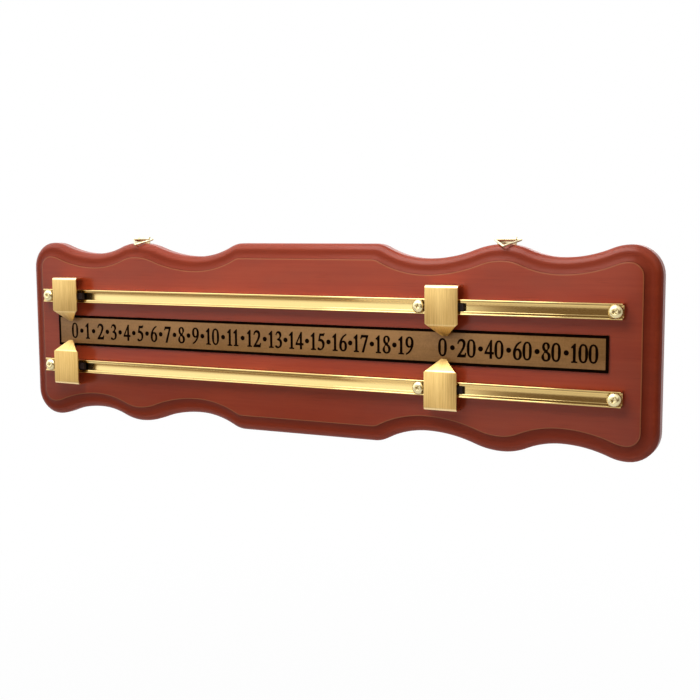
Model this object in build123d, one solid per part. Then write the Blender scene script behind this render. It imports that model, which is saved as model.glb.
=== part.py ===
from build123d import *
import os
from math import cos, hypot, radians, sin

# Wall scoreboard for billiards: a moulded hardwood board with a number plate, two
# slotted rails and four pointers that slide along them, hung from two swinging rings.
# Millimetres. Origin at the middle of the board's back face, on the wall.
# +X runs to the viewer's right, +Y into the wall and +Z up.
# A height is measured out of the board's front face, towards the viewer.

# Board: wavy outline, the same at the top and bottom and at both ends
board_height = 140.0
board_thickness = 13.0
corner_radius = 20.0
plateau_half = 54.0
plateau_to_dip = 40.5
inner_dip_depth = 10.1
dip_to_peak = 55.0
peak_to_dip = 40.5
outer_dip_depth = 8.5
dip_to_corner = 44.0
# Where each wave turns from hollow to round, as a share of the way from dip to crest
turn_to_plateau = 0.75
turn_to_peak_inside = 0.64
turn_to_peak_outside = 0.58
turn_to_corner = 0.72

# Moulded edge: a bead along the outside, a cove behind it and a small step up to the face
bead_width = 5.6
bead_drop = 3.4
cove_width = 5.2
cove_drop = 1.7
edge_step = 0.5
cutter_overhang = 2.0

# Number plate on its adhesive sheet
plate_left_margin = 27.8
plate_right_margin = 32.0
plate_width = 24.3
plate_thickness = 0.8
plate_corner = 0.6
adhesive_thickness = 0.2
adhesive_margin = 1.0

# Pan-head rail screws: one near each end of a rail and one between its two pointers
left_screw_inset = 5.7
right_screw_inset = 4.3
right_screw_spacing = 134.3
screw_back_cover = 2.1
shank_radius = 1.9
screw_tip_radius = 0.6
screw_tip_length = 3.8
head_radius = 4.75
head_height = 2.7
head_round = 1.5
recess_width = 1.1
recess_span = 4.8
recess_depth = 1.3
recess_taper = 12.0
shank_clearance = 0.15
pilot_clearance = 0.03

# Rail: slotted extrusion with two beaded lips
rail_left_margin = 18.0
rail_right_margin = 22.4
plate_to_rail = 10.65
rail_width = 10.4
rail_height = 7.1
rail_floor = 2.4
rail_wall = 1.2
lip_bead = 1.3
lip_fall = 0.25
lip_thickness = 0.6
slot_clearance = 0.75

# Pointer: one bent strip of sheet brass
pointer_width = 23.9
pointer_sheet = 1.2
pointer_rail_gap = 2.2
pointer_outer_reach = 14.7
pointer_inner_reach = 12.4
pointer_tip_overlap = 4.5
pointer_tip_rise = 2.6
pointer_tip_width = 5.4
pointer_taper_start = 1.0
pointer_return_gap = 1.5
return_bend = 1.0
tip_bend = 0.6
# Gaps between the pointers' edges and the screw heads, as the pointers stand at zero
upper_left_gap = 1.9
lower_left_gap = 1.4
upper_right_gap = 0.9
lower_right_gap = 0.3

# What holds a pointer in its rail: a runner, a rivet and a bowed leaf spring
runner_overhang = 2.6
neck_inset = 3.5
runner_floor_gap = 1.0
runner_side_clearance = 0.2
runner_lip_clearance = 0.2
rivet_radius = 1.25
rivet_head_radius = 2.0
rivet_head_height = 0.5
rivet_clearance = 0.05
spring_thickness = 0.3
spring_width = 4.4
spring_length = 15.0
spring_floor_gap = 0.05

# Hanger: a folded strap let into the back, and a three-cornered wire ring
strap_width = 13.4
strap_sheet = 0.8
strap_drop = 24.0
strap_end_radius = 2.0
pocket_depth = 2.9
pocket_clearance = 0.4
knuckle_rise = 3.0
wire_radius = 0.7
wire_clearance = 0.15
ring_side_play = 3.4
ring_rest_shift = 1.1
ring_reach = 12.6
ring_corner = 1.0
ring_droop = 20.0
strap_screw_inset = 5.0
strap_screw_spacing = 9.0
strap_screw_cover = 3.7
strap_shank_radius = 1.1
strap_head_radius = 2.3
strap_head_height = 0.9

sliders = (
    ("upper_left", "left", 1, upper_left_gap),
    ("upper_right", "right", 1, upper_right_gap),
    ("lower_left", "left", -1, lower_left_gap),
    ("lower_right", "right", -1, lower_right_gap),
)

# What follows from the sizes above
inner_dip_x = plateau_half + plateau_to_dip
peak_x = inner_dip_x + dip_to_peak
outer_dip_x = peak_x + peak_to_dip
corner_x = outer_dip_x + dip_to_corner
end_x = corner_x + corner_radius
top_z = board_height / 2

plate_length = 2 * end_x - plate_left_margin - plate_right_margin
plate_x = (plate_left_margin - plate_right_margin) / 2
plate_top = adhesive_thickness + plate_thickness

rail_length = 2 * end_x - rail_left_margin - rail_right_margin
rail_x = (rail_left_margin - rail_right_margin) / 2
rail_z = plate_width / 2 + plate_to_rail + rail_width / 2
slot_half = shank_radius + slot_clearance
lip_under = rail_height - lip_bead / 2 - lip_fall - lip_thickness
left_screw_x = rail_x - rail_length / 2 + left_screw_inset
right_screw_x = rail_x + rail_length / 2 - right_screw_inset
middle_screw_x = right_screw_x - right_screw_spacing
screws_x = (left_screw_x, middle_screw_x, right_screw_x)
rail_screw_depth = board_thickness - screw_back_cover

pointer_back = rail_height + pointer_rail_gap
runner_length = pointer_width + 2 * runner_overhang
runner_bottom = rail_floor + runner_floor_gap
rivet_bottom = runner_bottom - spring_thickness - rivet_head_height

strap_bottom_z = top_z - strap_drop
pivot_z = top_z + knuckle_rise
pivot_y = strap_sheet - pocket_depth
strap_screw_depth = board_thickness - pocket_depth - strap_screw_cover
strap_screws_z = [strap_bottom_z + strap_screw_inset + step for step in (0, strap_screw_spacing)]


def facing(height):
    """Plane parallel to the wall, at a height out of the board's face, drawn in x and z."""
    return Plane.XZ.offset(board_thickness + height)


def across(x, z=0):
    """Plane square to the rails. Sketches on it are drawn in y and z."""
    return Plane(origin=(x, 0, z), x_dir=(0, 1, 0), z_dir=(1, 0, 0))


def at(height, z):
    """Point on such a plane, at a height out of the board's face."""
    return (-(board_thickness + height), z)


def save(name, *solids):
    """Write one node. Several like solids of one node go in together."""
    body = solids[0] if len(solids) == 1 else Compound(children=list(solids))
    export_step(body, f"parts/{name}.step")


def wave(dip, crest, turn):
    """Hollow and round arc from a dip to a crest, level at both ends and tangent between."""
    joint = tuple(d + (c - d) * turn for d, c in zip(dip, crest))
    ahead = (1, 0) if crest[0] > dip[0] else (-1, 0)
    behind = (-ahead[0], 0)
    return TangentArc(dip, joint, tangent=ahead), TangentArc(crest, joint, tangent=behind)


def board_outline():
    """Closed outline of the board in x and z, from one quarter mirrored twice."""
    inner_dip = (inner_dip_x, top_z - inner_dip_depth)
    outer_dip = (outer_dip_x, top_z - outer_dip_depth)
    corner_z = top_z - corner_radius
    with BuildLine() as quarter:
        Line((0, top_z), (plateau_half, top_z))
        wave(inner_dip, (plateau_half, top_z), turn_to_plateau)
        wave(inner_dip, (peak_x, top_z), turn_to_peak_inside)
        wave(outer_dip, (peak_x, top_z), turn_to_peak_outside)
        wave(outer_dip, (corner_x, top_z), turn_to_corner)
        TangentArc((corner_x, top_z), (end_x, corner_z), tangent=(1, 0))
        Line((end_x, corner_z), (end_x, 0))
        mirror(about=Plane.YZ)
        mirror(about=Plane.XZ)
    return quarter.wire()


def bore(x, z, mouth_y, depth, radius):
    """Blind round hole: inwards for a positive depth, forwards for a negative one."""
    mouth = Plane(origin=(x, mouth_y, z), z_dir=(0, 1, 0)) * Circle(radius)
    return extrude(mouth, amount=depth)


def backboard():
    """Board with its moulded edge, strap pockets and pilot holes."""
    with BuildSketch(Plane.XZ) as shape:
        with BuildLine():
            add(board_outline())
        make_face()
    board = extrude(shape.sketch, amount=board_thickness)

    bead_level = -edge_step - cove_drop
    wall_level = bead_level - bead_drop
    cove_end = top_z - bead_width - cove_width
    rim = at(wall_level, top_z)
    crown = at(bead_level, top_z - bead_width)
    quirk = at(-edge_step, cove_end)
    with BuildSketch(across(0)) as cutter:
        with BuildLine():
            Polyline(
                rim,
                at(wall_level, top_z + cutter_overhang),
                at(cutter_overhang, top_z + cutter_overhang),
                at(cutter_overhang, cove_end),
                quirk,
            )
            TangentArc(crown, rim, tangent=(0, 1))
            TangentArc(crown, quirk, tangent=(0, -1))
        make_face()
    path = facing(wall_level) * board_outline()
    board -= sweep(cutter.sketch, path=path)

    for x in (-peak_x, peak_x):
        board -= Pos(x, 0, strap_bottom_z - pocket_clearance) * Box(
            strap_width + 2 * pocket_clearance,
            pocket_depth,
            knuckle_rise + strap_drop,
            align=(Align.CENTER, Align.MAX, Align.MIN),
        )
        for z in strap_screws_z:
            board -= bore(x, z, -pocket_depth, -strap_screw_depth, strap_shank_radius + pilot_clearance)
    for z in (-rail_z, rail_z):
        for x in screws_x:
            board -= bore(x, z, -board_thickness, rail_screw_depth, shank_radius + pilot_clearance)
    return board


def number_plate():
    """Flat plate and the adhesive sheet under it, a little smaller all round."""
    sheet = facing(0) * Pos(plate_x, 0) * Rectangle(
        plate_length - 2 * adhesive_margin, plate_width - 2 * adhesive_margin
    )
    plate = facing(adhesive_thickness) * Pos(plate_x, 0) * RectangleRounded(
        plate_length, plate_width, plate_corner
    )
    return extrude(plate, amount=plate_thickness), extrude(sheet, amount=adhesive_thickness)


def rail(sign):
    """Slotted rail with a flat floor, upright walls and two lips beaded along their outside."""
    half = rail_width / 2
    inside = half - rail_wall
    bead_level = rail_height - lip_bead / 2
    bead_outside = at(bead_level, half)
    bead_top = at(rail_height, half - lip_bead / 2)
    bead_inside = at(bead_level, half - lip_bead)
    with BuildSketch(across(rail_x - rail_length / 2, sign * rail_z)) as section:
        with BuildLine():
            Polyline(at(0, 0), at(0, half), bead_outside)
            ThreePointArc(bead_outside, bead_top, bead_inside)
            Polyline(
                bead_inside,
                at(bead_level - lip_fall, slot_half),
                at(lip_under, slot_half),
                at(lip_under, inside),
                at(rail_floor, inside),
                at(rail_floor, 0),
                at(0, 0),
            )
        make_face()
        mirror(about=Plane.XZ)
    body = extrude(section.sketch, amount=rail_length)
    for x in screws_x:
        hole = facing(0) * Pos(x, sign * rail_z) * Circle(shank_radius + shank_clearance)
        body -= extrude(hole, amount=rail_floor)
    return body


def pan_head_screw(x, z):
    """Cross-recessed pan head on a plain shank, its head resting on the rail's lips."""
    tip = -rail_screw_depth
    crown = rail_height + head_height
    with BuildSketch(Plane.XZ) as profile:
        with BuildLine():
            Polyline(
                (head_radius - head_round, crown),
                (0, crown),
                (0, tip),
                (screw_tip_radius, tip),
                (shank_radius, tip + screw_tip_length),
                (shank_radius, rail_height),
                (head_radius, rail_height),
                (head_radius, crown - head_round),
            )
            TangentArc(
                (head_radius, crown - head_round), (head_radius - head_round, crown), tangent=(0, 1)
            )
        make_face()
    screw = revolve(profile.sketch, axis=Axis.Z)
    cross = Rectangle(recess_span, recess_width) + Rectangle(recess_width, recess_span)
    screw -= extrude(Plane.XY.offset(crown) * cross, amount=-recess_depth, taper=recess_taper)
    return Plane(origin=(x, -board_thickness, z), x_dir=(1, 0, 0), z_dir=(0, -1, 0)) * screw


def slider_x(side, gap):
    """Middle of a pointer at rest: its edge stands one gap to the right of a screw head."""
    stop = left_screw_x if side == "left" else middle_screw_x
    return stop + head_radius + gap + pointer_width / 2


def pointer_plate(x, sign):
    """Sheet bent back square at its outer end and, tapered, towards the numbers."""
    face = pointer_back + pointer_sheet
    outer_z = rail_z + pointer_outer_reach
    fold_z = rail_z - pointer_inner_reach
    tip_z = plate_width / 2 - pointer_tip_overlap
    tip_height = plate_top + pointer_tip_rise
    run = fold_z - tip_z
    fall = face - tip_height
    slope = hypot(run, fall)
    inward_z = fall / slope
    inward_height = -run / slope
    fold_shift = pointer_sheet * inward_z / (1 - inward_height)
    front = (
        (outer_z, pointer_return_gap),
        (outer_z, face),
        (fold_z, face),
        (tip_z, tip_height),
    )
    back = (
        (outer_z - pointer_sheet, pointer_return_gap),
        (outer_z - pointer_sheet, pointer_back),
        (fold_z + fold_shift, pointer_back),
        (tip_z + inward_z * pointer_sheet, tip_height + inward_height * pointer_sheet),
    )
    with BuildSketch(across(x - pointer_width / 2)) as section:
        with BuildLine():
            for side, sheet in ((front, pointer_sheet), (back, 0)):
                FilletPolyline(
                    *[at(height, sign * z) for z, height in side],
                    radius=[return_bend + sheet, tip_bend + sheet],
                )
            for end in (0, -1):
                Line(*[at(side[end][1], sign * side[end][0]) for side in (front, back)])
        make_face()
    strip = extrude(section.sketch, amount=pointer_width)

    half = pointer_width / 2
    tip = pointer_tip_width / 2
    taper_z = fold_z + pointer_taper_start
    outline = [
        (x - half, sign * (outer_z + pointer_sheet)),
        (x + half, sign * (outer_z + pointer_sheet)),
        (x + half, sign * taper_z),
        (x + tip, sign * tip_z),
        (x + tip, 0),
        (x - tip, 0),
        (x - tip, sign * tip_z),
        (x - half, sign * taper_z),
    ]
    window = facing(0) * Polygon(*outline, align=None)
    return strip & extrude(window, amount=face + pointer_sheet, both=True)


def runner(x, sign):
    """Nylon block that runs inside the rail, longer than its pointer, with a neck up to it."""
    wing = rail_width / 2 - rail_wall - runner_side_clearance
    neck = slot_half - runner_side_clearance
    shoulder = lip_under - runner_lip_clearance
    upper_half = [
        (runner_bottom, wing),
        (shoulder, wing),
        (shoulder, neck),
        (rail_height - runner_lip_clearance, neck),
    ]
    outline = upper_half + [(height, -z) for height, z in reversed(upper_half)]
    section = across(x - runner_length / 2, sign * rail_z) * Polygon(
        *[at(height, z) for height, z in outline], align=None
    )
    middle = facing(shoulder) * Pos(x, sign * rail_z)
    riser = middle * Rectangle(pointer_width - 2 * neck_inset, 2 * neck)
    body = extrude(section, amount=runner_length) + extrude(riser, amount=pointer_back - shoulder)
    hole = facing(0) * Pos(x, sign * rail_z) * Circle(rivet_radius + rivet_clearance)
    return body - extrude(hole, amount=pointer_back)


def rivet(x, sign):
    """Rivet brazed to the back of the pointer, its head closed over under the spring."""
    base = facing(rivet_bottom) * Pos(x, sign * rail_z)
    head = extrude(base * Circle(rivet_head_radius), amount=rivet_head_height)
    return head + extrude(base * Circle(rivet_radius), amount=pointer_back - rivet_bottom)


def leaf_spring(x, sign):
    """Thin strip under the runner, bowed so that both its ends press on the rail's floor."""
    end = rail_floor + spring_floor_gap + spring_thickness
    half = spring_length / 2
    flat = rivet_head_radius
    with BuildSketch(Plane.XZ) as bow:
        with BuildLine():
            for down in (0, spring_thickness):
                Line((-flat, runner_bottom - down), (flat, runner_bottom - down))
                for way in (-1, 1):
                    TangentArc(
                        (way * flat, runner_bottom - down), (way * half, end - down), tangent=(way, 0)
                    )
            for way in (-1, 1):
                Line((way * half, end), (way * half, end - spring_thickness))
        make_face()
    strip = extrude(bow.sketch, amount=spring_width / 2, both=True)
    strip -= extrude(Circle(rivet_radius + rivet_clearance), amount=rail_height)
    place = Plane(origin=(x, -board_thickness, sign * rail_z), x_dir=(1, 0, 0), z_dir=(0, -1, 0))
    return place * strip


def hanger_strap(x):
    """Strap folded double round the ring's wire and let into the back of the board."""
    eye = wire_radius + wire_clearance
    with BuildSketch(across(x - strap_width / 2)) as section:
        with Locations((pivot_y, pivot_z)):
            Circle(eye + strap_sheet)
        with Locations((pivot_y, strap_bottom_z)):
            Rectangle(2 * strap_sheet, pivot_z - strap_bottom_z, align=(Align.CENTER, Align.MIN))
        with Locations((pivot_y, pivot_z)):
            Circle(eye, mode=Mode.SUBTRACT)
    strap = extrude(section.sketch, amount=strap_width)
    lower_corners = strap.edges().filter_by(Axis.Y).group_by(Axis.Z)[0]
    strap = fillet(lower_corners, strap_end_radius)
    for z in strap_screws_z:
        strap -= bore(x, z, -pocket_depth, 2 * strap_sheet, strap_shank_radius + shank_clearance)
    return strap


def strap_screw(x, z):
    """Small round-head screw, its head a little below the wall side of the board."""
    seat = Plane(origin=(x, 2 * strap_sheet - pocket_depth, z), z_dir=(0, 1, 0))
    head = extrude(seat * Circle(strap_head_radius), amount=strap_head_height)
    head = fillet(head.edges().group_by(Axis.Y)[-1], strap_head_height / 2)
    slot = seat.offset(strap_head_height) * Rectangle(2 * strap_head_radius, strap_head_height / 2)
    head -= extrude(slot, amount=-strap_head_height / 2)
    shank = extrude(seat * Circle(strap_shank_radius), amount=-2 * strap_sheet - strap_screw_depth)
    return head + shank


def hanger_ring(x):
    """Three-cornered wire ring, lying forwards over the board's top edge, a little to the right."""
    lie = radians(ring_droop)
    plane = Plane(
        origin=(x + ring_rest_shift, pivot_y, pivot_z),
        x_dir=(1, 0, 0),
        z_dir=(0, sin(lie), -cos(lie)),
    )
    half = strap_width / 2 + ring_side_play
    with BuildLine(plane) as bent:
        FilletPolyline((-half, 0), (half, 0), (0, ring_reach), radius=ring_corner, close=True)
    path = bent.wire()
    section = Plane(origin=path @ 0, z_dir=path % 0) * Circle(wire_radius)
    return sweep(section, path=path)


os.makedirs("parts", exist_ok=True)

save("backboard", backboard())
plate, adhesive = number_plate()
save("number_plate", plate)
save("number_plate_adhesive", adhesive)

for name, sign in (("upper", 1), ("lower", -1)):
    save(f"{name}_rail", rail(sign))
    save(f"{name}_rail_screws", *[pan_head_screw(x, sign * rail_z) for x in screws_x])

for name, side, sign, gap in sliders:
    x = slider_x(side, gap)
    save(f"{name}_pointer", pointer_plate(x, sign))
    save(f"{name}_runner", runner(x, sign))
    save(f"{name}_rivet", rivet(x, sign))
    save(f"{name}_spring", leaf_spring(x, sign))

for name, x in (("left", -peak_x), ("right", peak_x)):
    save(f"{name}_hanger_strap", hanger_strap(x))
    save(f"{name}_hanger_screws", *[strap_screw(x, z) for z in strap_screws_z])
    save(f"{name}_hanger_ring", hanger_ring(x))
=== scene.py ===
from math import atan2, cos, degrees, hypot, radians, sin, tan

import bpy
from mathutils import Matrix, Vector


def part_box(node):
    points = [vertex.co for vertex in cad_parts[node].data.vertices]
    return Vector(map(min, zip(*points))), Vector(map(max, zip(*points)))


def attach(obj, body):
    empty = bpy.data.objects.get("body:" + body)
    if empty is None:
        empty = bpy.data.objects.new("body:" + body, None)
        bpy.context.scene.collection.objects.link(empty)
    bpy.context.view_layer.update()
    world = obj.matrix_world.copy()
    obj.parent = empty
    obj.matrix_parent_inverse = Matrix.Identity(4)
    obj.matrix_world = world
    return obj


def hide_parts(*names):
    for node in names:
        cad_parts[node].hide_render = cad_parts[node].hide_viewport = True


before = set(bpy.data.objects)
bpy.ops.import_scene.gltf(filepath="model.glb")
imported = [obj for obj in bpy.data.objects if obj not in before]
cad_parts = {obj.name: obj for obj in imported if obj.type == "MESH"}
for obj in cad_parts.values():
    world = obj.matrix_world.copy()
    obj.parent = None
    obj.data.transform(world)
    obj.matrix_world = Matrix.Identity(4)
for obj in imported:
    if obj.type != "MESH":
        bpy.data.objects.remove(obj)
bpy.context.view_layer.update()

# Backboard: one piece of close-grained hardwood, bandsawn to a wavy outline and run round
# with a router for its bead and cove. Stained red-brown, with painted shade darkening the cove
# and the corner beside the face, and lacquered to a satin. The hangers are let into its back.
mm = 0.001
face_y = -13.0 * mm
top_z = 70.0 * mm
waves = (
    # how far to the next dip or crest, how deep, and where the wave turns on its way up
    (40.5 * mm, -10.1 * mm, 0.75),
    (55.0 * mm, 10.1 * mm, 0.64),
    (40.5 * mm, -8.5 * mm, 0.58),
    (44.0 * mm, 8.5 * mm, 0.72),
)
plateau_half = 54.0 * mm
corner_radius = 20.0 * mm
bead_width = 5.6 * mm
bead_drop = 3.4 * mm
cove_width = 5.2 * mm
cove_drop = 1.7 * mm
edge_step = 0.5 * mm
arris = 0.2 * mm
back_edge = 0.5 * mm
pocket_depth = 2.9 * mm
strap_play = 0.4 * mm
# Slack for picking edges by their place
hair = 0.01 * mm


def wave_steps(span, rise, share):
    """The two arcs of one wave, as (across, up, degrees turned). share is the hollow's part."""
    turned = 2 * degrees(atan2(abs(rise), span))
    hollow = (span * share, rise * share, turned)
    crest = (span * (1 - share), rise * (1 - share), -turned)
    return [hollow, crest] if rise > 0 else [crest, hollow]


def arc_loop(start, steps):
    """Closed loop of Bezier knots through arcs and straight lines: point, handle in, handle out."""
    points = [Vector(start)]
    for across, up, turned in steps:
        points.append(points[-1] + Vector((across, up)))
    handles = []
    for (across, up, turned), begin, end in zip(steps, points, points[1:]):
        half = radians(turned) / 2
        reach = hypot(across, up) / 3
        if abs(half) > 1e-6:
            reach *= 2 * tan(half / 2) / sin(half)
        heading = atan2(up, across)
        leave = Vector((cos(heading - half), sin(heading - half))) * reach
        arrive = Vector((cos(heading + half), sin(heading + half))) * reach
        handles.append((begin + leave, end - arrive))
    knots = []
    for index, point in enumerate(points[:-1]):
        knots.append((point, handles[index - 1][1], handles[index][0]))
    return knots


def choose(piece):
    """Select one piece alone and make it the active one."""
    bpy.ops.object.select_all(action="DESELECT")
    piece.select_set(True)
    bpy.context.view_layer.objects.active = piece


def draw(name, loops, filled, resolution, ink=0.0, gain=0.0):
    """Flat outline drawn upright, facing the viewer, and made a mesh."""
    curve = bpy.data.curves.new(name, "CURVE")
    curve.dimensions = "2D"
    curve.fill_mode = "BOTH" if filled else "NONE"
    curve.resolution_u = resolution
    curve.extrude = ink
    curve.offset = gain
    for loop in loops:
        spline = curve.splines.new("BEZIER")
        spline.use_cyclic_u = True
        spline.bezier_points.add(len(loop) - 1)
        for knot, (point, handle_in, handle_out) in zip(spline.bezier_points, loop):
            knot.co = (*point, 0)
            knot.handle_left = (*handle_in, 0)
            knot.handle_right = (*handle_out, 0)
    piece = bpy.data.objects.new(name, curve)
    bpy.context.collection.objects.link(piece)
    choose(piece)
    bpy.ops.object.convert(target="MESH")
    piece.rotation_euler = (radians(90), 0, 0)
    bpy.ops.object.transform_apply(location=False)
    return piece


def pick(piece, kind, test):
    """Select the edges or faces whose middle and direction pass a test, and edit the piece."""
    choose(piece)
    bpy.context.tool_settings.mesh_select_mode = (False, kind == "EDGE", kind == "FACE")
    mesh = piece.data
    for element in (*mesh.vertices, *mesh.edges, *mesh.polygons):
        element.select = False
    if kind == "FACE":
        for face in mesh.polygons:
            face.select = test(face.center, face.normal)
    else:
        for edge in mesh.edges:
            begin, end = (mesh.vertices[index].co for index in edge.vertices)
            edge.select = test((begin + end) / 2, (end - begin).normalized())
    bpy.ops.object.mode_set(mode="EDIT")


def extrude(offset):
    """Extrude what is selected by an offset."""
    bpy.ops.mesh.extrude_region_move(TRANSFORM_OT_translate={"value": offset})


def done():
    """Leave edit mode with every face pointing outwards."""
    bpy.ops.mesh.select_all(action="SELECT")
    bpy.ops.mesh.normals_make_consistent(inside=False)
    bpy.ops.object.mode_set(mode="OBJECT")


def modify(piece, kind, **settings):
    """Add one modifier and apply it."""
    choose(piece)
    modifier = piece.modifiers.new(kind.title(), kind)
    for setting, value in settings.items():
        setattr(modifier, setting, value)
    bpy.ops.object.modifier_apply(modifier=modifier.name)


def box_at(name, low, high):
    """Cube primitive stretched between two corners."""
    low, high = Vector(low), Vector(high)
    bpy.ops.object.select_all(action="DESELECT")
    bpy.ops.mesh.primitive_cube_add(size=1, location=(low + high) / 2)
    piece = bpy.context.object
    piece.name = name
    piece.scale = high - low
    bpy.ops.object.transform_apply()
    return piece


def smooth(piece, angle):
    """Shade round stretches smooth and keep edges sharper than the angle."""
    choose(piece)
    bpy.ops.object.shade_smooth_by_angle(angle=radians(angle))


def mount(piece, material, body, slot, *nodes):
    """Give a finished piece its material, its body and the CAD nodes that it stands for."""
    piece.data.materials.clear()
    piece.data.materials.append(material)
    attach(piece, body)
    if nodes:
        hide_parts(*nodes)


quarter = [(plateau_half, 0, 0)]
for span, rise, share in waves:
    quarter += wave_steps(span, rise, share)
quarter += [(corner_radius, -corner_radius, -90), (0, corner_radius - top_z, 0)]
right_half = quarter + [(-across, up, turned) for across, up, turned in reversed(quarter)]
outline = right_half + [(across, -up, turned) for across, up, turned in reversed(right_half)]
board = draw("scoreboard_board", [arc_loop((0, top_z), outline)], filled=False, resolution=10)

bead_level = edge_step + cove_drop
bead_bend = (bead_width**2 + bead_drop**2) / (2 * bead_drop)
cove_bend = (cove_width**2 + cove_drop**2) / (2 * cove_drop)
bead_turn = atan2(bead_width, bead_bend - bead_drop)
cove_turn = atan2(cove_width, cove_bend - cove_drop)
cuts = 9
profile = []
for cut in range(cuts - 1, -1, -1):
    turn = bead_turn * cut / cuts
    profile.append((bead_width - bead_bend * sin(turn), bead_level + bead_bend * (1 - cos(turn))))
for cut in range(1, cuts + 1):
    turn = cove_turn * cut / cuts
    profile.append((bead_width + cove_bend * sin(turn), bead_level - cove_bend * (1 - cos(turn))))
moulding = bead_width + cove_width
eased = ((0.1 * mm, arris), (0.6 * mm, arris / 4), (1.1 * mm, 0.0))
profile += [(moulding + across, level) for across, level in eased]

pick(board, "EDGE", lambda middle, along: True)
bpy.ops.mesh.edge_face_add()
depth = bead_level + bead_drop
extrude((0, face_y + depth, 0))
inset_so_far = 0.0
for inset, level in profile:
    bpy.ops.mesh.inset(thickness=inset - inset_so_far, depth=0)
    bpy.ops.transform.translate(value=(0, level - depth, 0))
    inset_so_far = inset
    depth = level
done()
pick(board, "EDGE", lambda middle, along: middle.y > -hair)
bpy.ops.mesh.bevel(offset=back_edge, segments=2, affect="EDGES")
done()
for node in ("left_hanger_strap", "right_hanger_strap"):
    low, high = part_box(node)
    pocket = box_at(
        "strap_pocket",
        (low.x - strap_play, -pocket_depth, low.z - strap_play),
        (high.x + strap_play, mm, top_z + mm),
    )
    modify(board, "BOOLEAN", object=pocket, operation="DIFFERENCE", solver="EXACT")
    bpy.data.objects.remove(pocket)
smooth(board, 24)


class Wire:
    """One socket of a material. Arithmetic on it adds the nodes that work it out."""

    def __init__(self, tree, socket):
        self.tree = tree
        self.socket = socket

    def node(self, kind, settings, sockets, output=0):
        """Any node: its settings first, then the values or links of its sockets."""
        added = self.tree.nodes.new(kind)
        for setting, value in settings.items():
            setattr(added, setting, value)
        for socket, value in sockets.items():
            if isinstance(value, Wire):
                self.tree.links.new(value.socket, added.inputs[socket])
            else:
                added.inputs[socket].default_value = value
        return Wire(self.tree, added.outputs[output])

    def math(self, operation, *values):
        """Math node on numbers or on sockets that carry one."""
        return self.node("ShaderNodeMath", {"operation": operation}, dict(enumerate(values)))

    def __add__(self, other):
        return self.math("ADD", self, other)

    def __sub__(self, other):
        return self.math("SUBTRACT", self, other)

    def __rsub__(self, other):
        return self.math("SUBTRACT", other, self)

    def __mul__(self, other):
        return self.math("MULTIPLY", self, other)

    __radd__ = __add__
    __rmul__ = __mul__

    def between(self, low, high):
        """0 below the low value, 1 above the high one and smooth between."""
        return self.node(
            "ShaderNodeMapRange", {"interpolation_type": "SMOOTHSTEP"},
            {"Value": self, "From Min": low, "From Max": high},
        )

    def noise(self, scale, stretch=(1, 1, 1), detail=3.0, roughness=0.5):
        """Noise at so many features a metre, squeezed along each axis."""
        place = self.node("ShaderNodeMapping", {}, {"Vector": self, "Scale": stretch})
        return self.node(
            "ShaderNodeTexNoise", {},
            {"Vector": place, "Scale": scale, "Detail": detail, "Roughness": roughness},
        )

    def axis(self, index):
        """One of the three axes of a place."""
        return self.node("ShaderNodeSeparateXYZ", {}, {0: self}, output=index)

    def blend(self, first, second):
        """Colour between two others, with this socket as the share of the second."""
        return self.node(
            "ShaderNodeMix", {"data_type": "RGBA"}, {0: self, 6: first, 7: second}, output=2
        )

    def bump(self, height, strength=1.0):
        """Surface direction from this socket as a height in metres."""
        return self.node(
            "ShaderNodeBump", {}, {"Height": self, "Distance": height, "Strength": strength}
        )


def finish(name, **constants):
    """New material: its shader's own constants, and the place on the piece to work from."""
    material = bpy.data.materials.new(name)
    material.use_nodes = True
    tree = material.node_tree
    shader = tree.nodes["Principled BSDF"]
    for socket, value in constants.items():
        shader.inputs[socket.replace("_", " ")].default_value = value
    start = Wire(tree, None)
    return material, start.node("ShaderNodeTexCoord", {}, {}, output="Object")


def feed(material, **wires):
    """Lead what varies over the surface to the shader."""
    shader = material.node_tree.nodes["Principled BSDF"]
    for socket, wire in wires.items():
        material.node_tree.links.new(wire.socket, shader.inputs[socket.replace("_", " ")])


stained_wood, place = finish(
    "stained_hardwood", IOR=1.5, Specular_IOR_Level=0.08, Coat_Roughness=0.22, Coat_IOR=1.45
)
figure = place.noise(10, (1, 1, 4.5), detail=4)
clouds = place.noise(24, (1, 1, 2), detail=2)
pores = place.noise(1300, (0.03, 1, 1), detail=2).between(0.60, 0.72)
fibres = place.noise(520, (0.02, 1, 1), detail=3)
# How far a place is below the face picks out the worn arris, the corner beside it and the
# cove, which both get painted shade, and the whole moulding.
depth = place.axis(1) - face_y
rubbed = depth.between(0.005 * mm, 0.04 * mm) * (1 - depth.between(0.15 * mm, 0.22 * mm))
quirk_shade = depth.between(0.2 * mm, 0.26 * mm) * (1 - depth.between(0.5 * mm, 0.85 * mm))
hollow = depth.between(0.3 * mm, 0.8 * mm) * (1 - depth.between(2.1 * mm, 2.6 * mm))
moulded = depth.between(0.01 * mm, 0.1 * mm)
red = (figure * 0.7 + fibres * 0.3).between(0.34, 0.66).blend(
    (0.288, 0.033, 0.010, 1), (0.348, 0.047, 0.015, 1)
)
red = (clouds.between(0.45, 0.75) * 0.4).blend(red, (0.265, 0.044, 0.018, 1))
red = (pores * 0.3).blend(red, (0.130, 0.022, 0.012, 1))
# Painted shade: the cove is darkened as if in shadow
red = (hollow * 0.5).blend(red, (0.170, 0.024, 0.011, 1))
# Painted shade: the corner at the step beside the face is darkened
red = (quirk_shade * 0.65).blend(red, (0.085, 0.016, 0.008, 1))
red = (rubbed * 0.5).blend(red, (0.400, 0.150, 0.055, 1))
feed(
    stained_wood,
    Base_Color=red,
    Roughness=0.42 + fibres * 0.14 + pores * 0.1,
    Coat_Weight=0.60 - pores * 0.25 - moulded * 0.25 - (hollow + quirk_shade) * 0.25,
    Normal=(fibres * 0.4 - pores).bump(0.015 * mm, 0.4),
)
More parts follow.
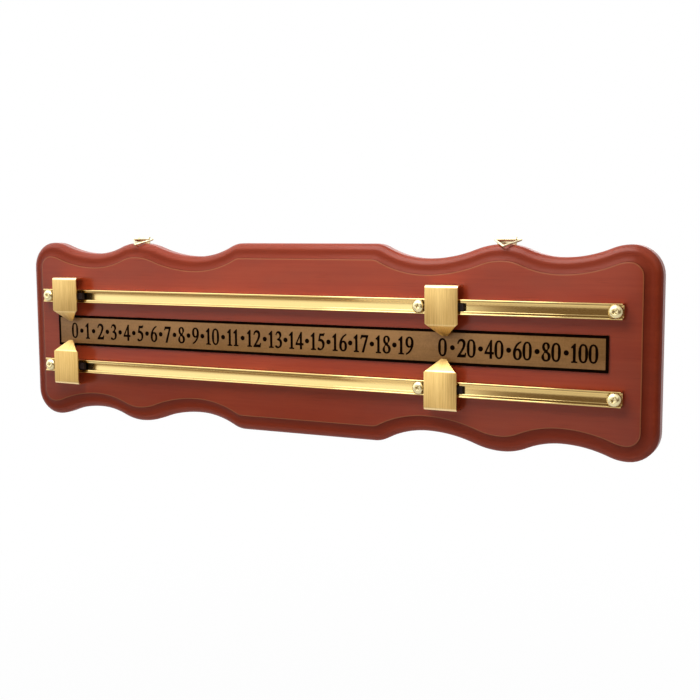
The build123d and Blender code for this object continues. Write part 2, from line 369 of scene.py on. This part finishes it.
mount(board, stained_wood, "board", "stained_hardwood", "backboard")

# Adhesive sheet: the thin double-sided sheet that holds the number plate down. Only its
# edge shows, as a pale line in the shadow under the plate.
adhesive_sheet, place = finish("adhesive_sheet", Roughness=0.7)
yellowing = place.noise(300)
feed(
    adhesive_sheet,
    Base_Color=yellowing.blend((0.42, 0.36, 0.28, 1), (0.55, 0.48, 0.38, 1)),
)
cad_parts["number_plate_adhesive"].data.materials[0] = adhesive_sheet

# Number plate: sheet aluminium, anodised gold brown, with clear varnish over the print.
# Its edges are sheared and lightly rounded.
plate_low, plate_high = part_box("number_plate")
sheared_round = 0.18 * mm
plate = box_at("number_plate_sheet", plate_low, plate_high)
modify(plate, "BEVEL", width=sheared_round, segments=3, limit_method="ANGLE")
smooth(plate, 40)

bronze, place = finish("bronze_plate", Specular_IOR_Level=0.3, Coat_Roughness=0.12)
sheen = place.noise(22, (1, 1, 2), detail=3)
speckle = place.noise(900, detail=3)
rolled = place.noise(1600, (0.02, 1, 1), detail=2)
feed(
    bronze,
    Base_Color=(sheen * 0.5 + speckle * 0.3 + rolled * 0.2).between(0.36, 0.64).blend(
        (0.215, 0.100, 0.026, 1), (0.300, 0.148, 0.044, 1)
    ),
    Metallic=0.25 + sheen * 0.2,
    Roughness=0.40 + rolled * 0.14,
    Coat_Weight=0.15 + sheen * 0.1,
    Normal=(rolled * 0.5 + speckle * 0.5).bump(0.004 * mm, 0.4),
)
mount(plate, bronze, "board", "bronze_plate", "number_plate")

# Print on the plate: a black frame and two rows of numbers with dots between them, 0 to 19
# and then the twenties to 100. Screen printed in black, a few hundredths proud.
ink_height = 0.03 * mm
border_width = 2.0 * mm
border_corner = 0.6 * mm
plate_front = plate_low.y
numeral_height = 12.0 * mm
numeral_stretch = 1.05
stroke_gain = 0.36 * mm
handle_share = 0.37
print_middle_z = -0.1 * mm
dot_radius = 1.75 * mm
widest_dot_gap = 10 * mm
right_dot_shift = 0.3 * mm
first_single_x = -209.9 * mm
single_pitch = 12.92 * mm
teens_x = (-78.4, -60.2, -41.9, -23.6, -6.1, 11.6, 29.3, 46.1, 63.4, 80.9)
right_zero_x = 108.1 * mm
twenty_x = 125.4 * mm
twenty_pitch = 19.6 * mm
hundred_x = 206.3 * mm
# Each numeral is drawn 1 high: (x, y) knots, marked where the line turns a corner
corner = True
numerals = {
    "0": (0.47, [
        [(0.235, 1.0), (0.465, 0.5), (0.235, 0.0), (0.005, 0.5)],
        [(0.235, 0.955), (0.358, 0.5), (0.235, 0.045), (0.112, 0.5)],
    ]),
    "1": (0.34, [[
        (0.03, 0.0, corner), (0.03, 0.025, corner), (0.09, 0.035), (0.12, 0.09, corner),
        (0.12, 0.83, corner), (0.03, 0.785, corner), (0.015, 0.815, corner),
        (0.19, 1.0, corner), (0.215, 1.0, corner), (0.215, 0.09, corner),
        (0.245, 0.035), (0.305, 0.025, corner), (0.305, 0.0, corner),
    ]]),
    "2": (0.49, [[
        (0.02, 0.76, corner), (0.09, 0.93), (0.23, 1.0), (0.385, 0.93), (0.44, 0.75),
        (0.37, 0.50), (0.145, 0.115, corner), (0.37, 0.115), (0.43, 0.14),
        (0.465, 0.22, corner),
        (0.485, 0.21, corner), (0.45, 0.0, corner), (0.01, 0.0, corner), (0.01, 0.03, corner),
        (0.25, 0.42), (0.345, 0.72), (0.30, 0.86), (0.20, 0.91), (0.10, 0.86),
        (0.045, 0.75, corner),
    ]]),
    "3": (0.45, [[
        (0.05, 0.80, corner), (0.11, 0.94), (0.22, 1.0), (0.35, 0.94), (0.395, 0.79),
        (0.35, 0.66), (0.265, 0.565, corner), (0.38, 0.48), (0.435, 0.30), (0.36, 0.085),
        (0.18, 0.0), (0.05, 0.03), (0.02, 0.085), (0.06, 0.12), (0.12, 0.08), (0.20, 0.05),
        (0.30, 0.11), (0.335, 0.27), (0.29, 0.42), (0.15, 0.49, corner), (0.15, 0.52, corner),
        (0.26, 0.60), (0.305, 0.74), (0.26, 0.87), (0.17, 0.915), (0.10, 0.88),
        (0.07, 0.79, corner),
    ]]),
    "4": (0.49, [
        [
            (0.385, 1.0, corner), (0.385, 0.33, corner), (0.485, 0.33, corner),
            (0.485, 0.25, corner), (0.385, 0.25, corner), (0.385, 0.0, corner),
            (0.295, 0.0, corner), (0.295, 0.25, corner), (0.01, 0.25, corner),
            (0.01, 0.31, corner), (0.34, 1.0, corner),
        ],
        [
            (0.295, 0.33, corner), (0.295, 0.78, corner), (0.265, 0.78, corner),
            (0.085, 0.37, corner), (0.095, 0.33, corner),
        ],
    ]),
    "5": (0.45, [[
        (0.15, 0.965, corner), (0.36, 0.965), (0.42, 1.0, corner), (0.435, 0.99, corner),
        (0.39, 0.865, corner), (0.175, 0.865, corner), (0.14, 0.655, corner), (0.25, 0.635),
        (0.38, 0.54), (0.43, 0.355), (0.345, 0.10), (0.15, 0.0), (0.035, 0.03), (0.02, 0.09),
        (0.06, 0.12), (0.14, 0.065), (0.22, 0.06), (0.305, 0.14), (0.335, 0.32), (0.27, 0.49),
        (0.12, 0.55), (0.07, 0.55, corner),
    ]]),
    "6": (0.47, [
        [
            (0.425, 1.0, corner), (0.25, 0.89), (0.08, 0.63), (0.02, 0.34), (0.08, 0.09),
            (0.245, 0.0), (0.405, 0.09), (0.46, 0.305), (0.405, 0.51), (0.275, 0.595),
            (0.135, 0.54, corner), (0.185, 0.71), (0.30, 0.87), (0.43, 0.975, corner),
        ],
        [(0.245, 0.545), (0.36, 0.29), (0.245, 0.035), (0.12, 0.30)],
    ]),
    "7": (0.45, [[
        (0.055, 0.985, corner), (0.45, 0.985, corner), (0.45, 0.955, corner),
        (0.185, 0.0, corner), (0.095, 0.0, corner), (0.355, 0.885, corner), (0.12, 0.885),
        (0.06, 0.86), (0.025, 0.79, corner), (0.005, 0.80, corner),
    ]]),
    "8": (0.46, [
        [
            (0.23, 1.0), (0.36, 0.94), (0.405, 0.79), (0.295, 0.545), (0.415, 0.40), (0.455, 0.25),
            (0.39, 0.07), (0.23, 0.0), (0.065, 0.07), (0.01, 0.24), (0.155, 0.51),
            (0.075, 0.62), (0.045, 0.77), (0.095, 0.935),
        ],
        [(0.23, 0.965), (0.32, 0.80), (0.26, 0.59), (0.125, 0.80)],
        [(0.19, 0.475), (0.355, 0.22), (0.23, 0.035), (0.10, 0.23)],
    ]),
}
# A nine is a six upside down
six_width, six = numerals["6"]
nine = [[(six_width - x, 1 - y, *marks) for x, y, *marks in loop] for loop in six]
numerals["9"] = (six_width, nine)


def drawn_loop(knots, hole, size, shift):
    """Closed loop through the listed knots: smooth, but for the ones marked as corners.

    Outlines are run one way round and holes the other, so that ink gain thickens both.
    """
    twice_area = sum(a[0] * b[1] - b[0] * a[1] for a, b in zip(knots, knots[1:] + knots[:1]))
    if (twice_area > 0) != hole:
        knots = knots[::-1]
    points = [
        Vector((x * numeral_stretch, y)) * size + Vector((shift, 0)) for x, y, *marks in knots
    ]
    loop = []
    for index, (knot, point) in enumerate(zip(knots, points)):
        before = points[index - 1]
        after = points[(index + 1) % len(points)]
        if len(knot) > 2:
            loop.append((point, point.lerp(before, 1 / 3), point.lerp(after, 1 / 3)))
            continue
        along = (after - before).normalized() * handle_share
        handle_in = point - along * (point - before).length
        handle_out = point + along * (after - point).length
        loop.append((point, handle_in, handle_out))
    return loop


def print_number(text, middle_x, gap):
    """One number in black ink, centred on a place along the plate."""
    glyphs = [numerals[digit] for digit in text]
    width = sum(glyph[0] * numeral_stretch for glyph in glyphs) + gap * (len(text) - 1)
    shift = -width / 2
    loops = []
    for advance, outlines in glyphs:
        for index, knots in enumerate(outlines):
            loops.append(drawn_loop(knots, index > 0, numeral_height, shift * numeral_height))
        shift += advance * numeral_stretch + gap
    piece = draw(
        f"number_{text}", loops, filled=True, resolution=5, ink=ink_height, gain=stroke_gain
    )
    piece.location = (middle_x, plate_front, print_middle_z - numeral_height / 2)
    bpy.ops.object.transform_apply()
    return piece


def print_dot(middle_x):
    """Round dot between two numbers."""
    bpy.ops.object.select_all(action="DESELECT")
    bpy.ops.mesh.primitive_circle_add(
        vertices=28, radius=dot_radius, fill_type="NGON",
        location=(middle_x, plate_front - ink_height, print_middle_z), rotation=(radians(90), 0, 0),
    )
    dot = bpy.context.object
    bpy.ops.object.transform_apply()
    pick(dot, "FACE", lambda middle, normal: True)
    extrude((0, 2 * ink_height, 0))
    done()
    return dot


def join(name, pieces):
    """Make several pieces one."""
    bpy.ops.object.select_all(action="DESELECT")
    for piece in pieces:
        piece.select_set(True)
    bpy.context.view_layer.objects.active = pieces[0]
    bpy.ops.object.join()
    pieces[0].name = name
    return pieces[0]


border = box_at(
    "printed_border",
    (plate_low.x, plate_front - ink_height, plate_low.z),
    (plate_high.x, plate_front + ink_height, plate_high.z),
)
pick(border, "EDGE", lambda middle, along: abs(along.y) > 0.9)
bpy.ops.mesh.bevel(offset=border_corner, segments=3, affect="EDGES")
done()
window = box_at(
    "border_window",
    (plate_low.x + border_width, plate_front - mm, plate_low.z + border_width),
    (plate_high.x - border_width, plate_front + mm, plate_high.z - border_width),
)
modify(border, "BOOLEAN", object=window, operation="DIFFERENCE", solver="EXACT")
bpy.data.objects.remove(window)

printed = [border]
# Each number: its digits, its middle, and the gap between its digits as a share of their height
units = [(str(n), first_single_x + single_pitch * n, 0.0) for n in range(10)]
units += [(str(n), x * mm, 0.10) for n, x in enumerate(teens_x, 10)]
twenties = [("0", right_zero_x, 0.0)]
twenties += [(str(20 * n + 20), twenty_x + twenty_pitch * n, 0.07) for n in range(4)]
twenties += [("100", hundred_x, 0.06)]
for row, dot_shift in ((units, 0.0), (twenties, right_dot_shift)):
    ends = []
    for text, x, gap in row:
        number = print_number(text, x, gap)
        xs = [vertex.co.x for vertex in number.data.vertices]
        ends.append((min(xs), max(xs)))
        printed.append(number)
    for (_, before), (after, _) in zip(ends, ends[1:]):
        if after - before < widest_dot_gap:
            printed.append(print_dot((before + after) / 2 + dot_shift))
ink_print = join("printed_numbers", printed)

black_ink, place = finish("black_ink", Specular_IOR_Level=0.0)
patchy = place.noise(700)
feed(
    black_ink,
    Base_Color=patchy.blend((0.003, 0.001, 0.0005, 1), (0.008, 0.003, 0.001, 1)),
    Roughness=0.35 + patchy * 0.2,
)
mount(ink_print, black_ink, "board", "bronze_plate")

# Rails: aluminium extrusions, polished and anodised pale gold, sawn to length. The slot
# between the two beaded lips holds the pointers' runners. Die lines run along each one.
rail_width = 10.4 * mm
rail_height = 7.1 * mm
rail_wall = 1.2 * mm
rail_z = 28.0 * mm
slot_width = 5.3 * mm
bead = 1.05 * mm
groove_width = 0.3 * mm
groove_depth = 0.2 * mm
lip_level = rail_height - bead / 2 - groove_depth
lip_round = 0.3 * mm
lip_under = 5.6 * mm
lip_flat = (rail_width - slot_width) / 2 - bead - groove_width - lip_round
lip_fall = lip_flat * tan(radians(9))
floor_edge = 2.95 * mm
floor_turn = -26.0
sawn_edge = 0.1 * mm
undercut = rail_width / 2 - rail_wall - slot_width / 2
# One wall: its outside, its bead, a groove, the lip falling towards the slot, its rounded
# corner, and the inside down to the floor
wall_steps = [
    (bead / 2 - rail_height, 0, 0),
    (0, -bead, 180),
    (groove_depth, 0, 0),
    (0, -groove_width, 0),
    (lip_fall, -lip_flat, 0),
    (lip_round, -lip_round, 80),
    (lip_level - lip_fall - lip_round - lip_under, 0, 0),
    (0, undercut, 0),
    (lip_under - floor_edge, 0, 0),
]
other_wall = [(-out, along, turned) for out, along, turned in reversed(wall_steps)]
hollow_floor = [(0, 2 * rail_wall - rail_width, floor_turn)]
rail_section = wall_steps + hollow_floor + other_wall + [(0, rail_width, 0)]

gold, place = finish("gold_anodised_rail", Metallic=1.0, IOR=1.5)
die_lines = place.noise(2600, (0, 1, 1), detail=2, roughness=0.6)
inside = (place.axis(1) - face_y).between(-4.2 * mm, -3.4 * mm)
tone = place.noise(9, (1, 3, 3), detail=2)
from_middle = place.axis(2).math("ABSOLUTE", place.axis(2)) - rail_z
from_middle = from_middle.math("ABSOLUTE", from_middle)
# Painted shade: the groove between each bead and its lip is darkened
groove_shade = from_middle.between(3.7 * mm, 3.95 * mm) * (1 - from_middle.between(4.2 * mm, 4.35 * mm))
anodised = tone.between(0.3, 0.7).blend((0.72, 0.535, 0.215, 1), (0.78, 0.595, 0.255, 1))
feed(
    gold,
    Base_Color=(groove_shade * 0.55).blend(anodised, (0.20, 0.10, 0.03, 1)),
    Roughness=0.06 + die_lines * 0.05 + inside * 0.07,
    Normal=die_lines.bump(0.004 * mm, 0.2),
)
for row in ("upper", "lower"):
    low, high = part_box(f"{row}_rail")
    section = [arc_loop((0, rail_width / 2), rail_section)]
    bar = draw(f"{row}_rail_bar", section, filled=False, resolution=6)
    bar.rotation_euler = (0, 0, radians(90))
    bar.location = (low.x, face_y, (low.z + high.z) / 2)
    bpy.ops.object.transform_apply()
    pick(bar, "EDGE", lambda middle, along: True)
    bpy.ops.mesh.edge_face_add()
    extrude((high.x - low.x, 0, 0))
    done()
    modify(bar, "BEVEL", width=sawn_edge, segments=2, limit_method="ANGLE", angle_limit=radians(50))
    smooth(bar, 40)
    mount(bar, gold, "board", "gold_anodised_rail", f"{row}_rail")

# Rail screws: pan-head wood screws, brass plated, with a cross recess. Their heads bear on
# both lips of a rail and stop the pointers at the ends of their travel.
head_radius = 4.75 * mm
head_height = 2.7 * mm
head_round = 2.5 * mm
shank_radius = 1.9 * mm
screw_depth = 10.9 * mm
point_length = 3.8 * mm
recess_depth = 1.5 * mm
recess_reach = 2.3 * mm
recess_half_width = 0.45 * mm
screw_edge = 0.1 * mm
screws_x = (-230.3 * mm, 93.0 * mm, 227.3 * mm)


def cylinder(name, radius, low_y, high_y, x, z, vertices):
    """Cylinder primitive lying along y."""
    bpy.ops.object.select_all(action="DESELECT")
    bpy.ops.mesh.primitive_cylinder_add(
        vertices=vertices, radius=radius, depth=high_y - low_y,
        location=(x, (low_y + high_y) / 2, z), rotation=(radians(90), 0, 0),
    )
    piece = bpy.context.object
    piece.name = name
    bpy.ops.object.transform_apply()
    return piece


def pan_head_screw(x, z, turn):
    """One screw, its recess turned as it happened to stop."""
    under = face_y - rail_height
    crown = under - head_height
    screw = cylinder("rail_screw", head_radius, crown, under, x, z, 56)
    pick(screw, "FACE", lambda middle, normal: normal.y < -0.9)
    bpy.ops.mesh.bevel(
        offset=head_round, segments=8, profile=0.42, affect="EDGES", clamp_overlap=False
    )
    done()
    pick(screw, "FACE", lambda middle, normal: normal.y > 0.9)
    bpy.ops.mesh.inset(thickness=head_radius - shank_radius, depth=0)
    extrude((0, rail_height + screw_depth - point_length, 0))
    extrude((0, point_length, 0))
    bpy.ops.transform.resize(value=(0.3, 1, 0.3), center_override=(x, 0, z))
    done()
    for way in (0, 90):
        blade = box_at(
            "recess_blade",
            (x - recess_reach, crown - mm, z - recess_half_width),
            (x + recess_reach, crown + recess_depth, z + recess_half_width),
        )
        pick(blade, "FACE", lambda middle, normal: normal.y > 0.9)
        bpy.ops.transform.resize(value=(0.45, 1, 0.55), center_override=(x, 0, z))
        bpy.ops.object.mode_set(mode="OBJECT")
        spin = Matrix.Rotation(radians(turn + way), 4, "Y")
        centre = Matrix.Translation((x, 0, z))
        blade.data.transform(centre @ spin @ centre.inverted())
        modify(screw, "BOOLEAN", object=blade, operation="DIFFERENCE", solver="EXACT")
        bpy.data.objects.remove(blade)
    modify(
        screw, "BEVEL",
        width=screw_edge, segments=2, limit_method="ANGLE", angle_limit=radians(45),
    )
    smooth(screw, 35)
    return screw


pale_brass, place = finish("pale_brass", Metallic=1.0, IOR=1.5)
spots = place.noise(900, detail=3)
haze = place.noise(160, detail=2)
# Painted shade: darker below the crown, in the recess and down the rounded side of the head
below_crown_shade = (place.axis(1) - (face_y - rail_height - head_height)).between(0.25 * mm, 1.3 * mm)
plated = haze.blend((0.72, 0.61, 0.32, 1), (0.85, 0.76, 0.46, 1))
feed(
    pale_brass,
    Base_Color=(below_crown_shade * 0.35).blend(plated, (0.30, 0.21, 0.09, 1)),
    Roughness=0.20 + spots * 0.14,
    Normal=spots.bump(0.01 * mm, 0.3),
)
screw_turns = {"upper": (20, 12, 48), "lower": (70, 33, 8)}
for row, sign in (("upper", 1), ("lower", -1)):
    heads = [
        pan_head_screw(x, sign * rail_z, turn) for x, turn in zip(screws_x, screw_turns[row])
    ]
    screws = join(f"{row}_rail_pan_heads", heads)
    mount(screws, pale_brass, "board", "pale_brass", f"{row}_rail_screws")

# Runners, rivets and springs: a black nylon block inside the rail, a rivet that ties it to
# the pointer, and a bowed strip of spring bronze that presses on the rail's floor.
nylon, place = finish("black_nylon", IOR=1.5, Specular_IOR_Level=0.2)
grain = place.noise(1500)
feed(
    nylon,
    Base_Color=grain.blend((0.016, 0.009, 0.008, 1), (0.034, 0.018, 0.015, 1)),
    Roughness=0.55 + grain * 0.2,
    Normal=grain.bump(0.01 * mm, 0.4),
)
spring_bronze, place = finish("spring_bronze", Metallic=1.0)
rolled = place.noise(1400, (0.05, 1, 1))
feed(
    spring_bronze,
    Base_Color=rolled.blend((0.46, 0.27, 0.13, 1), (0.60, 0.38, 0.20, 1)),
    Roughness=0.25 + rolled * 0.2,
)
sliders = ("upper_left", "upper_right", "lower_left", "lower_right")
for name in sliders:
    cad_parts[f"{name}_runner"].data.materials[0] = nylon
    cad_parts[f"{name}_spring"].data.materials[0] = spring_bronze
    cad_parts[f"{name}_rivet"].data.materials[0] = pale_brass

# Pointers: one strip of brass sheet each, sheared to a blunt arrow, folded down to the
# numbers and back square at its outer end. Brushed up and down before it was bent, then
# lacquered, with sheared edges left bright.
sheet = 1.2 * mm
pointer_face = 10.5 * mm
fold_z = 15.6 * mm
taper_z = 16.6 * mm
tip_z = 7.65 * mm
tip_height = 3.6 * mm
tip_width = 3.8 * mm
outer_z = 42.7 * mm
return_gap = 1.5 * mm
return_radius = 2.2 * mm
fold_radius = 1.8 * mm
fold_turn = 41.5
strip_edge = 0.22 * mm

brushed, place = finish("brushed_brass", Metallic=1.0, IOR=1.5)
lines = place.noise(6400, (1, 0.012, 0.012), detail=3, roughness=0.7)
coarse = place.noise(2400, (1, 0.012, 0.012), detail=2)
tone = place.noise(60, (1, 1, 0.3), detail=2)
brush = lines * 0.6 + coarse * 0.4
# Both bends are painted brighter than the flats between them: a painted highlight
from_middle = place.axis(2).math("ABSOLUTE", place.axis(2))
bend_highlight = from_middle.between(outer_z - 2.2 * mm, outer_z - 1.2 * mm)
below_fold = from_middle.between(fold_z - 0.9 * mm, fold_z - 0.3 * mm)
crease_highlight = below_fold * (1 - from_middle.between(fold_z + 0.2 * mm, fold_z + 0.7 * mm))
drawn_brass = (brush * 0.8 + tone * 0.2).between(0.36, 0.64).blend(
    (0.56, 0.355, 0.110, 1), (0.80, 0.565, 0.220, 1)
)
feed(
    brushed,
    Base_Color=(bend_highlight * 0.8 + crease_highlight * 0.3).blend(drawn_brass, (0.95, 0.72, 0.38, 1)),
    Roughness=0.30 + brush * 0.16 - bend_highlight * 0.12,
    Normal=brush.bump(0.012 * mm, 0.5),
)
for name in sliders:
    low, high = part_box(f"{name}_pointer")
    sign = 1 if low.z > 0 else -1
    middle_x = (low.x + high.x) / 2
    width = high.x - low.x
    front_y = face_y - pointer_face
    bpy.ops.object.select_all(action="DESELECT")
    bpy.ops.mesh.primitive_plane_add(
        size=1, location=(middle_x, front_y, sign * (taper_z + outer_z) / 2),
        rotation=(radians(90), 0, 0),
    )
    pointer = bpy.context.object
    pointer.name = f"{name}_pointer_sheet"
    pointer.scale = (width, outer_z - taper_z, 1)
    bpy.ops.object.transform_apply()
    slope = (width - tip_width) / (taper_z - tip_z)
    fold_width = width - slope * (taper_z - fold_z)
    pick(pointer, "EDGE", lambda middle, along: abs(middle.z) < taper_z + hair)
    extrude((0, 0, sign * (fold_z - taper_z)))
    bpy.ops.transform.resize(value=(fold_width / width, 1, 1), center_override=(middle_x, 0, 0))
    extrude((0, pointer_face - tip_height, sign * (tip_z - fold_z)))
    bpy.ops.transform.resize(value=(tip_width / fold_width, 1, 1), center_override=(middle_x, 0, 0))
    bpy.ops.object.mode_set(mode="OBJECT")
    pick(pointer, "EDGE", lambda middle, along: abs(middle.z) > outer_z - hair)
    extrude((0, pointer_face - return_gap, 0))
    bpy.ops.object.mode_set(mode="OBJECT")
    fold_run = fold_radius * tan(radians(fold_turn / 2))
    bends = ((outer_z, return_radius, 8), (fold_z, fold_run, 4))
    for bend_z, offset, segments in bends:
        pick(
            pointer, "EDGE",
            lambda middle, along: abs(abs(middle.z) - bend_z) < hair
            and middle.y < front_y + hair and abs(along.x) > 0.9,
        )
        bpy.ops.mesh.bevel(offset=offset, segments=segments, affect="EDGES")
        bpy.ops.object.mode_set(mode="OBJECT")
    pick(pointer, "FACE", lambda middle, normal: True)
    bpy.ops.mesh.normals_make_consistent(inside=False)
    bpy.ops.object.mode_set(mode="OBJECT")
    towards_viewer = sum(face.normal.y * face.area for face in pointer.data.polygons) < 0
    inwards = -1 if towards_viewer else 1
    modify(pointer, "SOLIDIFY", thickness=sheet, offset=inwards, use_even_offset=True)
    modify(
        pointer, "BEVEL",
        width=strip_edge, segments=2, limit_method="ANGLE", angle_limit=radians(50),
    )
    smooth(pointer, 35)
    mount(pointer, brushed, f"{name}_slider", "brushed_brass", f"{name}_pointer")

# Hangers: a strip of brass folded double round a three-cornered wire ring, let into the
# back of the board and held by two slotted screws. The rings lie over the top edge.
hanger_brass, place = finish("hanger_brass", Metallic=1.0, IOR=1.5)
smudges = place.noise(260, detail=3)
feed(
    hanger_brass,
    Base_Color=smudges.between(0.35, 0.65).blend((0.50, 0.42, 0.25, 1), (0.72, 0.64, 0.43, 1)),
    Roughness=0.16 + smudges * 0.14,
    Normal=smudges.bump(0.01 * mm, 0.3),
)
for side in ("left", "right"):
    for part in ("strap", "screws", "ring"):
        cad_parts[f"{side}_hanger_{part}"].data.materials[0] = hanger_brass

# Studio: a white sweep far below and soft lights, with the camera where the photograph was
# taken from, a little above the board and to its right.


def seen_directly(start):
    """1 where the camera, a reflection or clear glass looks at the studio, and 0 for its light."""
    camera_ray, glossy_ray, through_ray = (
        start.node("ShaderNodeLightPath", {}, {}, output=name)
        for name in ("Is Camera Ray", "Is Glossy Ray", "Is Transmission Ray")
    )
    return start.math("MAXIMUM", camera_ray, start.math("MAXIMUM", glossy_ray, through_ray))


bpy.ops.object.select_all(action="DESELECT")
bpy.ops.mesh.primitive_plane_add(size=4, location=(0, 1.2, -0.5))
floor = bpy.context.object
floor.name = "studio_floor"
bpy.ops.object.transform_apply()
floor_white, place = finish("studio_floor", Roughness=0.9)
feed(floor_white, Base_Color=place.noise(2).blend((0.90, 0.90, 0.90, 1), (0.92, 0.92, 0.92, 1)))
far_off = place.node("ShaderNodeVectorMath", {"operation": "LENGTH"}, {0: place}, output="Value")
light_path = Wire(floor_white.node_tree, None)
seen = seen_directly(light_path)
glow = light_path.node("ShaderNodeEmission", {}, {"Color": (1, 1, 1, 1), "Strength": 1.0})
lit = Wire(floor_white.node_tree, floor_white.node_tree.nodes["Principled BSDF"].outputs[0])
# Seen, the sweep is nearly plain white, with a trace of the board's shadow close to it
whiteness = seen * (0.97 + far_off.between(0.6, 1.4) * 0.03)
surface = light_path.node("ShaderNodeMixShader", {}, {0: whiteness, 1: lit, 2: glow})
floor_white.node_tree.links.new(
    surface.socket, floor_white.node_tree.nodes["Material Output"].inputs["Surface"]
)
floor.data.materials.append(floor_white)

scene = bpy.context.scene
world = bpy.data.worlds.new("studio")
world.use_nodes = True
scene.world = world
sky = world.node_tree.nodes["Background"]
start = Wire(world.node_tree, None)
direction = start.node("ShaderNodeTexCoord", {}, {}, output="Generated")


def facing(axis, low, high):
    """How far a direction of the studio lies towards an axis."""
    towards = direction.node(
        "ShaderNodeVectorMath", {"operation": "DOT_PRODUCT"},
        {0: direction, 1: Vector(axis).normalized()}, output="Value",
    )
    return towards.between(low, high)


# What polished metal shows: a bright side of the room from the front round to the left, down
# to about the board's height, a pale ceiling, the white backdrop and a dim warm rest. The
# board itself is lit by the lamps and a faint even light.
seen = seen_directly(start)
camera_ray = start.node("ShaderNodeLightPath", {}, {}, output="Is Camera Ray")
height = direction.axis(2)
to_the_left = (direction.axis(1) * 0.02 - direction.axis(0)).between(0, 0.16)
window_side = to_the_left * to_the_left * height.between(-0.30, -0.05)
ceiling = facing((0, 0, 1), 0.2, 0.8)
backdrop = facing((0, 1, 0), -0.45, 0.05)
dim_room = 0.20
left_light = 0.09
window_light = 1.22
ceiling_light = 1.15
ambient = 0.1
room = dim_room + to_the_left * left_light + window_side * window_light + ceiling * ceiling_light
room = room.math("MAXIMUM", room, backdrop)
strength = ambient + seen * (room - ambient) + camera_ray * (1 - room)
world.node_tree.links.new(strength.socket, sky.inputs["Strength"])
pale = (1 - seen) + camera_ray + window_side + ceiling + backdrop
tint = pale.between(0, 0.7).blend((1.0, 0.69, 0.45, 1), (1, 1, 1, 1))
world.node_tree.links.new(tint.socket, sky.inputs["Color"])


def softbox(name, location, target, size, power):
    """Square area lamp aimed at a point."""
    lamp = bpy.data.lights.new(name, "AREA")
    lamp.size = size
    lamp.energy = power
    light = bpy.data.objects.new(name, lamp)
    light.location = location
    light.rotation_euler = (Vector(target) - Vector(location)).to_track_quat("-Z", "Y").to_euler()
    bpy.context.collection.objects.link(light)


# The key hangs close above the board, and the bounce lifts its lower mouldings from below
softbox("key", (0.0, -0.28, 0.40), (0, 0, 0), 0.4, 2.5)
softbox("bounce", (0.1, -0.7, -0.6), (0, 0, 0), 1.0, 2.2)
softbox("side", (-1.2, -0.85, 1.0), (0, 0, 0), 0.9, 3)
softbox("fill", (1.4, -1.5, 0.9), (0, 0, 0), 1.0, 2.3)
softbox("back", (0.2, 1.3, 1.0), (0, 0, 0), 1.0, 12)

yaw = 26.5
pitch = 6.321
roll = 0.337
focal_pixels = 1140
picture_pixels = 700
camera_data = bpy.data.cameras.new("photo_camera")
camera_data.sensor_width = 36
camera_data.lens = focal_pixels / picture_pixels * camera_data.sensor_width
camera = bpy.data.objects.new("photo_camera", camera_data)
camera.location = (396.6 * mm, -734.1 * mm, 84.0 * mm)
turned = (
    Matrix.Rotation(radians(yaw), 3, "Z")
    @ Matrix.Rotation(radians(90 - pitch), 3, "X")
    @ Matrix.Rotation(radians(-roll), 3, "Z")
)
camera.rotation_euler = turned.to_euler()
bpy.context.collection.objects.link(camera)
scene.camera = camera
scene.view_settings.view_transform = "Standard"
